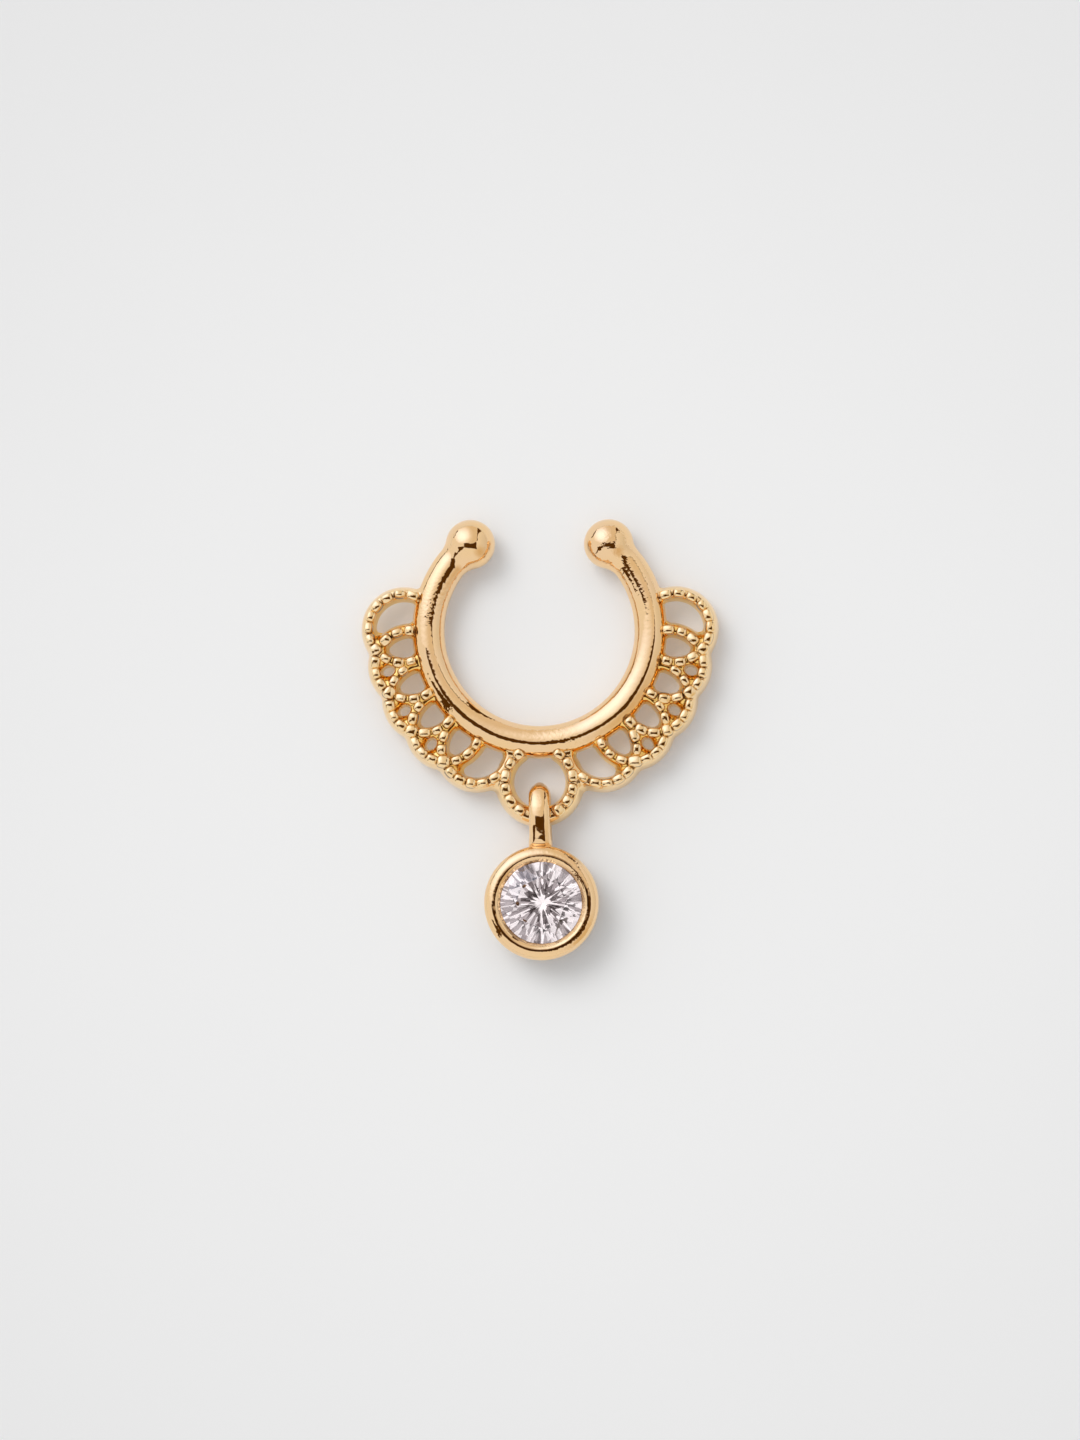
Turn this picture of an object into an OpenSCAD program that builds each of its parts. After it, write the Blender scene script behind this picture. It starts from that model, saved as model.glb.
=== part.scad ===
// Clip-on septum ring: an open band with ball ends, a pierced lace border with milgrain beads,
// and a bezel-set round stone that hangs from a small loop. It lies face up. Sizes are in millimetres.
// X runs across the ring, Y runs from the drop to the ball ends, and Z is up from the surface it lies on.
// Angles round the ring are counted from straight down, where the drop hangs. Each side mirrors the other.

/* [Ring band] */
// Inside diameter of the ring
inner_d = 8; // [7.9:0.05:8.1]
// Thickness of the round band
band_d = 1.38; // [1.3:0.02:1.4]
// Angle from straight down to each ball end
end_angle = 141.5; // [138:0.5:143]
// Diameter of the ball ends
ball_d = 2.1; // [2.06:0.02:2.2]

/* [Lace border] */
// Thickness of the lace plate
lace_t = 0.86; // [0.8:0.02:0.88]
// Part of that thickness that is the upper step, where the bars are narrower
lace_step = 0.4; // [0.3:0.05:0.5]
// Radius of the circles that the arches follow
arch_r = 1.49; // [1.46:0.01:1.52]
// Distance from the ring's centre to the centres of the arches
arch_reach = 5.65; // [5.62:0.01:5.68]
// The same distance for the highest arch
first_reach = 5.74; // [5.7:0.01:5.78]
// Angle from straight down to the highest arch
first_angle = 91; // [90:0.5:92]
// Angle between neighbouring arches
arch_pitch = 15.75; // [15.6:0.05:15.9]
// Width of a lace bar at its upper face
bar_w = 0.42; // [0.38:0.02:0.46]
// Extra width on each side of a bar at its lower face
draft_w = 0.09; // [0.06:0.01:0.1]
// Metal outside the line of beads
rim_w = 0.32; // [0.28:0.01:0.34]

/* [Beads] */
// Diameter of a milgrain bead
bead_d = 0.38; // [0.34:0.01:0.39]
// Diameter of the bigger bead where two arches cross
cross_bead_d = 0.46; // [0.42:0.01:0.48]

/* [Hanging loop] */
// Distance from the ring's centre to the centre of the loop
loop_reach = 6.37; // [6.34:0.01:6.4]
// Diameter of the opening in the loop
loop_hole_d = 2.14; // [2.1:0.01:2.16]
// Diameter of the circle of beads on the loop
loop_bead_circle = 2.86; // [2.84:0.01:2.9]
// Outside diameter of the loop
loop_d = 3.78; // [3.74:0.01:3.8]

/* [Drop] */
// Outside diameter of the bezel
bezel_d = 4.8; // [4.76:0.02:4.84]
// Height of the bezel
bezel_h = 2.35; // [2.34:0.01:2.38]
// Distance from the ring's centre to the centre of the stone
drop_reach = 11.45; // [11.4:0.01:11.5]
// Angle by which the drop is turned to the right where it lies
drop_turn = 1.35; // [0:0.05:1.6]
// Width of the bail
bail_w = 0.88; // [0.84:0.01:0.9]
// Thickness of the bail
bail_t = 0.54; // [0.48:0.01:0.54]

/* [Stone] */
// Girdle diameter of the stone
stone_d = 3.75; // [3.72:0.01:3.78]
// Diameter of the table
table_d = 2.1; // [2:0.05:2.2]

/* [Hidden] */
$fn = 64;
gold = [0.90, 0.70, 0.42];
clear = [0.90, 0.90, 0.94];

// The band, and the heights that follow from its balls lying on the surface
band_r = (inner_d + band_d) / 2;
mid_z = ball_d / 2;
lace_low = mid_z - lace_t / 2;
lace_top = mid_z + lace_t / 2;

// Centre of the ring, with the whole object centred on the origin along Y
high_reach = ball_d / 2 - band_r * cos(end_angle);
low_reach = drop_reach + bezel_d / 2;
ring_y = (low_reach - high_reach) / 2;

// The lace has five arches a side, and each circle overlaps its neighbours by about half
arch_count = 5;
half_gap = arch_reach * sin(arch_pitch / 2);
cross_turn = 90 + arch_pitch / 2 - acos(half_gap / arch_r);

// Beads are counted both ways from the outermost point of each arch
cross_bead = 2;
last_bead = 5;
bead_turn = cross_turn / cross_bead;
bead_sink = 0.03;
loop_bead_turn = 22;
first_loop_bead = 34;
last_loop_bead = 145;

// The bail is an upright ring round the loop's lowest bar, and its near end runs into the bezel's wall
bail_low_z = 0.03;
bail_h = 2.22;
bail_r = bail_h / 2;
bail_seat = 0.25;
bail_length = drop_reach - loop_reach - bezel_d / 2 + bail_seat;
bail_sides = 16;

// The bezel cup, with a rounded rim and a lip that slopes down to the stone
floor_t = 0.26;
fit_gap = 0.04;
foot_round = 0.25;
rim_round = 0.43;
lip_drop = 0.15;
lip_t = 0.03;
mouth_r = 1.7;
hollow_r = 1.45;
round_steps = 8;

// The stone stands with its point just clear of the cup's floor
culet_z = floor_t + fit_gap;
pavilion_h = 1.6;
girdle_t = 0.08;
crown_h = 0.52;
girdle_low = culet_z + pavilion_h;
girdle_top = girdle_low + girdle_t;
table_z = girdle_top + crown_h;
stone_r = stone_d / 2;
folds = 8;
fold = 360 / folds;
star_share = 0.5;
lower_share = 0.22;

// A place in the ring's plane, by distance and by angle from straight down
function at(r, a) = [r * sin(a), -r * cos(a)];
function reach(k) = k == 1 ? first_reach : arch_reach;
function arch_angle(k) = first_angle - (k - 1) * arch_pitch;
function arch_centre(k) = at(reach(k), arch_angle(k));
// A place on the circle of arch k, by turn from its outermost point towards the drop
function on_arch(k, turn) = arch_centre(k) + at(arch_r, arch_angle(k) - turn);

module both_sides() {
    for (side = [0, 1]) mirror([side, 0, 0]) children();
}

module arch_disc(k, grow) {
    translate(arch_centre(k)) circle(r = arch_r + grow);
}

module loop_disc(d) {
    translate([0, -loop_reach]) circle(d = d);
}

// What lies inside some arches, outside others and outside the band, clear of the bars
module opening(inside, outside, half_bar) {
    difference() {
        intersection_for(k = inside) arch_disc(k, -half_bar);
        for (k = outside) arch_disc(k, half_bar);
        circle(r = band_r);
    }
}

// The pierced openings of one side: a crescent at each end, drops between them, and triangles near the edge
module openings(half_bar) {
    opening([1], [2], half_bar);
    for (k = [1:arch_count - 1]) opening([k, k + 1], [], half_bar);
    opening([arch_count], [arch_count - 1], half_bar);
    for (k = [2:arch_count - 1]) opening([k], [k - 1, k + 1], half_bar);
}

module lace_slice(half_bar, rim) {
    difference() {
        union() {
            both_sides() for (k = [1:arch_count]) arch_disc(k, rim);
            loop_disc(loop_d - 2 * (rim_w - rim));
        }
        circle(r = band_r);
        both_sides() openings(half_bar);
        loop_disc(loop_hole_d);
    }
}

module lace_plate() {
    translate([0, 0, lace_low])
        linear_extrude(lace_t * (1 - lace_step)) lace_slice(bar_w / 2 + draft_w, rim_w);
    translate([0, 0, lace_top - lace_t * lace_step])
        linear_extrude(lace_t * lace_step) lace_slice(bar_w / 2, rim_w - draft_w);
}

module bead(place, d) {
    translate(concat(place, lace_top - bead_sink)) sphere(d = d, $fn = 16);
}

// Beads along the arches of one side. Neighbours share the bead where they cross, and an arch shares
// its last bead at the band with the first bead of the next arch but one.
module arch_beads() {
    for (k = [1:arch_count], i = [-last_bead:last_bead]) {
        is_cross = abs(i) == cross_bead && !(k == 1 && i < 0) && !(k == arch_count && i > 0);
        is_shared = k > 1 && i == -cross_bead || k > 2 && i == -last_bead;
        is_past_loop = k == arch_count && i > last_bead - 2;
        if (!is_shared && !is_past_loop)
            bead(on_arch(k, i * bead_turn), is_cross ? cross_bead_d : bead_d);
    }
}

module beads() {
    both_sides() {
        arch_beads();
        for (a = [first_loop_bead:loop_bead_turn:last_loop_bead])
            bead([0, -loop_reach] + at(loop_bead_circle / 2, a), bead_d);
    }
}

module band() {
    translate([0, 0, mid_z])
        rotate_extrude(angle = 2 * end_angle, start = -90 - end_angle)
            translate([band_r, 0]) circle(d = band_d);
    for (side = [-1, 1])
        translate(concat(at(band_r, side * end_angle), mid_z)) sphere(d = ball_d);
}

module lace_ring() {
    color(gold) translate([0, ring_y, 0]) {
        band();
        lace_plate();
        beads();
    }
}

// The drop turns about the centre of the hanging loop, and its own Y axis runs down from there
module drop_place() {
    translate([0, ring_y - loop_reach, 0]) rotate(180 + drop_turn) children();
}

// Oval section of the bail, at its place in the upright ring
module bail_section() {
    polygon([for (i = [0:bail_sides - 1]) let (a = 360 * i / bail_sides)
        [bail_r - bail_t / 2 + bail_t / 2 * cos(a), bail_w / 2 * sin(a)]]);
}

module bail() {
    far_y = bail_r;
    near_y = bail_length - bail_r;
    translate([0, 0, bail_low_z + bail_r]) rotate([0, 90, 0]) {
        translate([0, far_y]) rotate_extrude(angle = 180, start = 180) bail_section();
        translate([0, near_y]) rotate_extrude(angle = 180) bail_section();
        for (side = [0, 1]) mirror([side, 0, 0]) translate([0, near_y]) rotate([90, 0, 0])
            linear_extrude(near_y - far_y) bail_section();
    }
}

// Points along an arc about a centre, from angle a0 to a1
function arc(c, r, a0, a1) = [for (i = [0:round_steps])
    let (a = a0 + (a1 - a0) * i / round_steps) c + r * [cos(a), sin(a)]];

module bezel() {
    wall_r = bezel_d / 2;
    seat_r = stone_r + fit_gap;
    seat_slope = pavilion_h / stone_r;
    seat_z = girdle_low - fit_gap;
    rotate_extrude() polygon(concat(
        [[0, 0]],
        arc([wall_r - foot_round, foot_round], foot_round, -90, 0),
        arc([wall_r - rim_round, bezel_h - rim_round], rim_round, 0, 90),
        [[mouth_r, bezel_h - lip_drop],
         [mouth_r, bezel_h - lip_drop - lip_t],
         [seat_r, girdle_top + fit_gap],
         [seat_r, seat_z],
         [hollow_r, seat_z - (seat_r - hollow_r) * seat_slope],
         [hollow_r, floor_t],
         [0, floor_t]]));
}

module drop_setting() {
    color(gold) drop_place() {
        translate([0, drop_reach - loop_reach, 0]) bezel();
        bail();
    }
}

// Round brilliant: table, star, kite and girdle facets above, long lower facets and mains below
module brilliant() {
    table_r = table_d / 2;
    crown_slope = crown_h / (stone_r - table_r);
    star_r = table_r * cos(fold / 2) + star_share * (stone_r - table_r * cos(fold / 2));
    star_z = table_z - (star_r * cos(fold / 2) - table_r) * crown_slope;
    lower_r = lower_share * stone_r;
    lower_z = culet_z + lower_r * cos(fold / 2) * pavilion_h / stone_r;
    function ring(r, z, n, shift) = [for (i = [0:n - 1])
        let (a = (i + shift) * 360 / n) [r * cos(a), r * sin(a), z]];
    points = concat(
        ring(table_r, table_z, folds, 0),
        ring(star_r, star_z, folds, 0.5),
        ring(stone_r, girdle_top, 2 * folds, 0),
        ring(stone_r, girdle_low, 2 * folds, 0),
        ring(lower_r, lower_z, folds, 0.5),
        [[0, 0, culet_z]]);
    // Number of the first corner in each ring, in the order above
    star = folds;
    top = 2 * folds;
    foot = 4 * folds;
    lower = 6 * folds;
    tip = 7 * folds;
    faces = concat(
        [[for (i = [folds - 1:-1:0]) i]],
        [for (i = [0:folds - 1])
            let (next = (i + 1) % folds, last = (i + folds - 1) % folds, mid = 2 * i + 1) each [
            [i, next, star + i],
            [i, star + i, top + 2 * i],
            [i, top + 2 * i, star + last],
            [star + i, top + mid, top + 2 * i],
            [star + i, top + 2 * next, top + mid],
            [foot + 2 * i, foot + mid, lower + i],
            [foot + mid, foot + 2 * next, lower + i],
            [foot + 2 * i, lower + i, tip],
            [foot + 2 * i, tip, lower + last]]],
        [for (i = [0:2 * folds - 1])
            let (next = (i + 1) % (2 * folds)) [top + i, top + next, foot + next, foot + i]]);
    polyhedron(points, faces);
}

module stone() {
    color(clear) drop_place() translate([0, drop_reach - loop_reach, 0]) brilliant();
}

lace_ring();
drop_setting();
stone();
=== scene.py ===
import math

import bmesh
import bpy
from bpy.props import FloatProperty, FloatVectorProperty, PointerProperty
from mathutils import Matrix, Vector, noise


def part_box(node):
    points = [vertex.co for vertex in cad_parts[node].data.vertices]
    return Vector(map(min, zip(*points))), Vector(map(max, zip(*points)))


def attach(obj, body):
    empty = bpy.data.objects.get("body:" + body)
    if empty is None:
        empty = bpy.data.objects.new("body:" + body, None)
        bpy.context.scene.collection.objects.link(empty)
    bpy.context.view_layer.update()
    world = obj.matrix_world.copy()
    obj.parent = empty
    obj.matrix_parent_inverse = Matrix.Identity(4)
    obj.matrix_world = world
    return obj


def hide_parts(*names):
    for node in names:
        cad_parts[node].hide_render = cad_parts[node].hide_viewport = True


bl_info = {
    "name": "Septum ring with lace border and stone drop",
    "version": (1, 0, 0),
    "blender": (4, 5, 0),
    "location": "3D View > Sidebar > Septum ring",
    "description": "Models a gold-plated septum ring: band with ball ends, lace, beads, bezel and stone",
    "category": "Add Mesh",
}

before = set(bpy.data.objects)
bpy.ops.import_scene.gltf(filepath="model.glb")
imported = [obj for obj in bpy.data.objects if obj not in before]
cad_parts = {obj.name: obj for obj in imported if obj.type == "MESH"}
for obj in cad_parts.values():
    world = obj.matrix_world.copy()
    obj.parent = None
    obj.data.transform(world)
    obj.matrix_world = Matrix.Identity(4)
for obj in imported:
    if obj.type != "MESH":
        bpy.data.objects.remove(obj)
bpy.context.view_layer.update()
RING_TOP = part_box("lace_ring")[1]
STONE_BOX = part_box("stone")

# Meshes are modelled in millimetres, as on a maker's drawing, and brought to metres when they are finished
MM = 0.001


def linear(code):
    """Linear colour from an sRGB hex value"""
    parts = [int(code[i:i + 2], 16) / 255 for i in (1, 3, 5)]
    return tuple(p / 12.92 if p <= 0.04045 else ((p + 0.055) / 1.055) ** 2.4 for p in parts)


def length(name, description, millimetres):
    """A size that a user may change, given here in millimetres"""
    return FloatProperty(name=name, description=description, default=millimetres * MM,
                         min=0, unit="LENGTH", subtype="DISTANCE", precision=5)


def angle(name, description, degrees):
    """An angle that a user may change, given here in degrees"""
    return FloatProperty(name=name, description=description, default=math.radians(degrees),
                         unit="ROTATION", subtype="ANGLE")


def colour(name, description, code):
    """A colour that a user may change, given here as sRGB hex"""
    return FloatVectorProperty(name=name, description=description, default=linear(code),
                               subtype="COLOR", size=3, min=0, max=1)


def share(name, description, value):
    """A plain number from 0 to 1 that a user may change"""
    return FloatProperty(name=name, description=description, default=value,
                         min=0, max=1, subtype="FACTOR")


class BandSettings(bpy.types.PropertyGroup):
    """Sizes of the round band and its ball ends"""
    inner_d: length("Inside diameter", "Opening of the ring", 8)
    band_d: length("Band thickness", "Diameter of the round band", 1.38)
    end_angle: angle("End angle", "Angle from straight down to each ball", 141.5)
    ball_d: length("Ball diameter", "Diameter of the ball ends", 2.1)
    neck_round: length("Neck fillet", "Radius of the fillet between band and ball", 1.0)
    ridge: length("Crest ridge", "Height of the soft ridge that polishing leaves along the crest", 0.023)


class LaceSettings(bpy.types.PropertyGroup):
    """Sizes of the pierced lace border"""
    lace_t: length("Lace thickness", "Thickness of the lace bars", 0.86)
    bar_w: length("Bar width", "Width of a bar at its upper face", 0.42)
    draft_w: length("Draft", "Extra width of a bar on each side at its lower face", 0.12)
    arch_r: length("Arch radius", "Radius of the circles that the arches follow", 1.49)
    arch_reach: length("Arch reach", "Distance from the ring's centre to the arch centres", 5.65)
    first_reach: length("First reach", "The same distance for the highest arch", 5.74)
    first_angle: angle("First angle", "Angle from straight down to the highest arch", 91)
    arch_pitch: angle("Arch pitch", "Angle between neighbouring arches", 15.75)
    corner_round: length("Corner fillet", "Radius that casting leaves in the corners of the openings", 0.125)


class BeadSettings(bpy.types.PropertyGroup):
    """Sizes of the milgrain beads"""
    bead_l: length("Bead length", "Length of a bead along the line", 0.53)
    bead_w: length("Bead width", "Width of a bead across the line", 0.42)
    bead_h: length("Bead height", "Height of a bead, half of it sunk in the bar", 0.5)
    cross_d: length("Crossing bead", "Width of the bead where two arches cross", 0.56)
    sink: length("Bead sink", "Depth of a bead's middle below the top of the bar", 0.03)
    inset: length("Bead inset", "Distance of the line of beads from the middle of the arch's bar", 0.045)
    boxy: share("Squareness", "0 for a round bead, 1 for a square one", 0.34)


class LoopSettings(bpy.types.PropertyGroup):
    """Sizes of the hanging loop at the bottom of the lace"""
    reach: length("Loop reach", "Distance from the ring's centre to the loop's centre", 6.37)
    hole_d: length("Hole diameter", "Opening of the loop", 2.14)
    bead_circle: length("Bead circle", "Diameter of the circle of beads on the loop", 2.86)
    outer_d: length("Outside diameter", "Outside diameter of the loop", 3.78)


class DropSettings(bpy.types.PropertyGroup):
    """Sizes of the bezel and its bail"""
    bezel_d: length("Bezel diameter", "Outside diameter of the bezel", 4.8)
    bezel_h: length("Bezel height", "Height of the bezel", 2.35)
    rim_round: length("Rim round", "Radius of the bezel's rounded shoulder", 0.43)
    mouth_d: length("Mouth diameter", "Opening of the lip round the stone", 3.4)
    reach: length("Drop reach", "Distance from the ring's centre to the stone's centre", 11.45)
    turn: angle("Drop turn", "Angle by which the drop lies turned to the right", 1.35)
    bail_w: length("Bail width", "Width of the bail", 0.88)
    bail_t: length("Bail thickness", "Thickness of the bail", 0.54)
    bail_face: length("Bail face", "Width of the flatter face along the bail", 0.12)


class StoneSettings(bpy.types.PropertyGroup):
    """Sizes of the round brilliant"""
    stone_d: length("Girdle diameter", "Diameter of the stone", 3.75)
    table_d: length("Table diameter", "Diameter of the flat table, over its corners", 2.1)
    crown_h: length("Crown height", "Height from girdle to table", 0.52)
    girdle_t: length("Girdle", "Thickness of the girdle", 0.08)
    pavilion_h: length("Pavilion depth", "Depth from girdle to point", 1.6)
    star_share: share("Star share", "How far the star facets reach from table to girdle", 0.5)
    lower_share: share("Lower share", "Where the lower halves end, as a share of the radius", 0.22)


class FinishSettings(bpy.types.PropertyGroup):
    """Colours of the metal, the stone and the card"""
    gold: colour("Gold", "Polished gold plate", "#FAD6A8")
    worn_gold: colour("Worn gold", "Paler plate on high points, which wear has thinned", "#FFE2B3")
    # Deep gold also tints the warm clouds at random, and is painted into the lace's openings and on the band
    # beside the lace, as painted shade and painted reflection
    deep_gold: colour("Deep gold", "Yellower plate in sheltered places, where no cloth wears it", "#FFD37D")
    # Painted dark: painted shade at the beads' ends and low sides, a painted dark reflection along the
    # bezel's crest, and painted shade at the stone
    painted_dark: colour("Crease", "Old polish and tarnish left in fine creases", "#865C2E")
    silvering: colour("Silvering", "Foil behind the stone, where it is bright", "#FDF9F9")
    # The grey and dark streaks of the foil are painted reflections, which stand in for the stone's grey and
    # dark wedges
    painted_grey_wedges: colour("Grey silvering", "Streaks in the foil near the girdle", "#ADA6A7")
    painted_dark_wedges: colour("Dull silvering", "Streaks in the foil round the stone's point", "#7A7374")
    stone: colour("Stone", "Body colour of the stone", "#FDFAFC")
    card: colour("Card", "Pale card that the ring lies on", "#F1F1F1")
    card_glow: share("Card glow", "Light that comes up through the card from the table below", 0.135)
    ripple: length("Ripple", "Height of the soft ripples that hand polishing leaves", 0.007)
    pit: length("Pit", "Depth of the fine pits that the polishing wheel missed", 0.011)
    wave: length("Wave", "Height of the longer waves that casting leaves", 0.02)


class RingSettings(bpy.types.PropertyGroup):
    """All settings of the septum ring"""
    band: PointerProperty(type=BandSettings)
    lace: PointerProperty(type=LaceSettings)
    beads: PointerProperty(type=BeadSettings)
    loop: PointerProperty(type=LoopSettings)
    drop: PointerProperty(type=DropSettings)
    stone: PointerProperty(type=StoneSettings)
    finish: PointerProperty(type=FinishSettings)


# Smaller forms. Lengths are in millimetres, angles in radians.
# Sides of the band's round section, by itself and inside the lace's skin
BAND_SIDES, CORE_SIDES = 96, 48
# Ridge on the band: its place on the section from the top outwards, what the ring's side adds, half its width
RIDGE_TURN, RIDGE_MORE, RIDGE_WIDE = 0.12, 0.16, 0.25
# Where it rises and where it fades, from straight down
RIDGE_START, RIDGE_END = (0.1, 0.8), (1.7, 1.95)
# Arches on each side, and how far outside the band's middle their bars end
ARCH_COUNT, ARCH_ROOT = 5, 0.2
# Half the turn of the loop's bar
LOOP_SWEEP = math.radians(152)
# How much thinner than the band its two stand-ins are, and where they end
CORE_TUBES = ((0.03, 1.95), (0.018, 2.0))
# Slots: place as a share of the arch's radius, radius at the back and at the front, and stretch
SLOT_REACH, SLOT_BACK, SLOT_FRONT, SLOT_STRETCH = 0.64, 0.16, 0.27, (0.95, 1.25, 1, 1)
# Fineness of the cast skin, and rounds of tumbling
SKIN_STEP, SKIN_ROUNDS = 0.048, 5
# Beads at a crossing and at the band, counted from the arch's outermost point
CROSS_BEAD, LAST_BEAD = 2, 5
# Width of a crossing bead as a share of its length, and of a loop's bead as a share of the usual width
CROSS_WIDE, LOOP_WIDE = 0.94, 1.1
# Angles of the loop's beads, in degrees
LOOP_BEADS = range(34, 146, 22)
# Most that hand tooling adds to a bead's length and width, as shares, and most that it tips the bead
BEAD_ODDS, BEAD_TILTS = (0.24, 0.22), (0.6, 0.5)
# The cup: floor, gap to the stone, radius of its hollow, roundings of foot and lip, unevenness of the lip
CUP_FLOOR, FIT_GAP, HOLLOW_R, FOOT_ROUND, LIP_CREST, LIP_ODDS = 0.26, 0.04, 1.45, 0.25, 0.2, 0.022
# Slope of the lip towards the stone, in degrees
LIP_LEAN = 38
# The bail: height above the ground, upright height, and how far it runs into the bezel
BAIL_LOW, BAIL_TALL, BAIL_SEAT = 0.03, 2.22, 0.25
# Half the fall of its top towards the far and the near end, and the length in which it falls
BAIL_SAGS, BAIL_SPAN = (0.06, 0.09), 0.9
# Shares by which it is wider at the bezel and narrower at its far end
BAIL_SPREAD, BAIL_NARROW = 0.16, 0.5
# A brilliant repeats eight times round its axis. The shares of each fold where its foil is painted dim and
# dimmer, as painted shade in the stone's reflections.
FOLDS, FOIL_PAINTED_DIM, FOIL_PAINTED_DIMMER = 8, (0.5, 0.92), (0.08, 0.5)
# Painted dark and grey streaks of the foil, which stand in for the stone's darker reflections: fineness, tone
# that they start at, and first and last distance from the stone's point
PAINTED_DARK_STREAKS, PAINTED_GREY_STREAKS, STREAK_BLUR = (5, 0.465, 0.5, 0.9), (4, 0.55, 0.95, 1.9), 0.02
# Half the card's side, in metres
CARD_HALF = 0.4
# The camera: the place that it looks at, its distance, and how far and to which side it is off straight above
CAMERA_TARGET, CAMERA_REACH = (0.02, 0.81, 1.0), 168.4
CAMERA_LEAN, CAMERA_HEADING = math.radians(4), math.radians(-50)


def sizes(context, *names):
    """Settings groups by name: their lengths in millimetres, and their angles and shares as they are"""
    groups = []
    for name in names:
        group, values = getattr(context.scene.septum_ring, name), {}
        for prop in group.bl_rna.properties:
            if prop.type == "FLOAT" and not prop.is_array:
                value = getattr(group, prop.identifier)
                values[prop.identifier] = value / MM if prop.unit == "LENGTH" else value
        groups.append(values)
    return groups


def at(radius, turn):
    """A place in the ring's plane, by distance from a centre and by angle from straight down"""
    return Vector((radius * math.sin(turn), -radius * math.cos(turn), 0))


def arches(lace, side):
    """Number, centre and angle from straight down of each arch on one side, from the highest one down"""
    for k in range(1, ARCH_COUNT + 1):
        turn = side * (lace["first_angle"] - (k - 1) * lace["arch_pitch"])
        yield k, at(lace["first_reach"] if k == 1 else lace["arch_reach"], turn), turn


def band_radius(band):
    """Radius of the circle that the middle of the band follows"""
    return (band["inner_d"] + band["band_d"]) / 2


def ring_place(band):
    """Centre of the ring, with the balls lying on the surface"""
    low = RING_TOP.y / MM - band["ball_d"] / 2 + band_radius(band) * math.cos(band["end_angle"])
    return Vector((0, low, band["ball_d"] / 2))


def drop_places(band, loop, drop):
    """Places of the bail and of the stone. The drop turns about the hanging loop's centre, and its own Y
    axis runs down from there."""
    bail = Matrix.Translation((0, ring_place(band).y - loop["reach"], 0)) @ Matrix.Rotation(
        math.pi + drop["turn"], 4, "Z")
    return bail, bail @ Matrix.Translation((0, drop["reach"] - loop["reach"], 0))


def chain(bm, points, closed=False):
    """Corners and edges through the points in order"""
    verts = [bm.verts.new(p) for p in points]
    ends = verts[1:] + (verts[:1] if closed else [])
    return verts, [bm.edges.new(pair) for pair in zip(verts, ends)]


def arc(centre, radius, first, last, steps):
    """Points on an arc in the XZ plane, from the first angle to the last, in degrees"""
    turns = [math.radians(first + (last - first) * i / steps) for i in range(steps + 1)]
    return [Vector((centre[0] + radius * math.cos(t), 0, centre[1] + radius * math.sin(t))) for t in turns]


def turned(points, steps):
    """A lathe-turned mesh from a profile in the XZ plane"""
    bm = bmesh.new()
    verts, edges = chain(bm, points)
    bmesh.ops.spin(bm, geom=verts + edges, cent=(0, 0, 0), axis=(0, 0, 1), angle=2 * math.pi,
                   steps=steps, use_merge=True)
    bmesh.ops.remove_doubles(bm, verts=bm.verts, dist=1e-5)
    return bm


def swept(bm, points, centre, first, last, steps):
    """Sweeps a closed section, given in the XZ plane with its distance from the centre as X, about the
    centre's upright axis, and closes both ends"""
    verts, edges = chain(bm, points, closed=True)
    cap = bm.faces.new(verts)
    bmesh.ops.rotate(bm, verts=verts, cent=(0, 0, 0), matrix=Matrix.Rotation(first - math.pi / 2, 3, "Z"))
    bmesh.ops.translate(bm, verts=verts, vec=centre)
    bmesh.ops.spin(bm, geom=verts + edges + [cap], cent=centre, axis=(0, 0, 1), angle=last - first,
                   steps=steps)


def join_into(bm, other, matrix=None):
    """Adds another bmesh to this one, at its place"""
    mesh = bpy.data.meshes.new("part")
    if matrix:
        bmesh.ops.transform(other, matrix=matrix, verts=other.verts)
    other.to_mesh(mesh)
    other.free()
    bm.from_mesh(mesh)
    bpy.data.meshes.remove(mesh)


def helper_object(name, bm):
    """A short-lived object for modifiers to work on"""
    mesh = bpy.data.meshes.new(name)
    bm.to_mesh(mesh)
    bm.free()
    obj = bpy.data.objects.new(name, mesh)
    bpy.context.scene.collection.objects.link(obj)
    return obj


def cast_skin(bm, core, drills, voxel, fillet, rounds):
    """Runs overlapping closed bars together into one cast skin: the corners between them are filled by
    growing and shrinking the skin, small holes are drilled, the edges are softened as tumbling does, and
    the core, which another piece stands for, is taken out"""
    obj = helper_object("bars", bm)
    tools = [helper_object("drills", drills), helper_object("core", core)]
    for step, grow in (("run", fillet), ("set", -fillet)):
        remesh = obj.modifiers.new(step, "REMESH")
        remesh.mode = "VOXEL"
        remesh.voxel_size = voxel
        move = obj.modifiers.new(step + "_grow", "DISPLACE")
        move.mid_level = 0
        move.strength = grow
    for tool in tools:
        cut = obj.modifiers.new("take_" + tool.name, "BOOLEAN")
        cut.operation = "DIFFERENCE"
        cut.solver = "MANIFOLD"
        cut.object = tool
        if tool == tools[0]:
            soft = obj.modifiers.new("soften", "SMOOTH")
            soft.factor = 0.5
            soft.iterations = rounds
    skin = bpy.data.meshes.new_from_object(obj.evaluated_get(bpy.context.evaluated_depsgraph_get()))
    for used in (obj, *tools):
        mesh = used.data
        bpy.data.objects.remove(used)
        bpy.data.meshes.remove(mesh)
    result = bmesh.new()
    result.from_mesh(skin)
    bpy.data.meshes.remove(skin)
    return result


def add_piece(name, bm, node, material, smooth=True):
    """Finishes a piece: metres, outward faces, material, and its place in the frame"""
    bmesh.ops.recalc_face_normals(bm, faces=bm.faces)
    bmesh.ops.scale(bm, verts=bm.verts, vec=(MM, MM, MM))
    for face in bm.faces:
        face.smooth = smooth
    mesh = bpy.data.meshes.new(name)
    bm.to_mesh(mesh)
    bm.free()
    mesh.materials.append(material)
    obj = bpy.data.objects.new(name, mesh)
    bpy.context.scene.collection.objects.link(obj)
    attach(obj, "root")
    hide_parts(node)
    return obj


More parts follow.
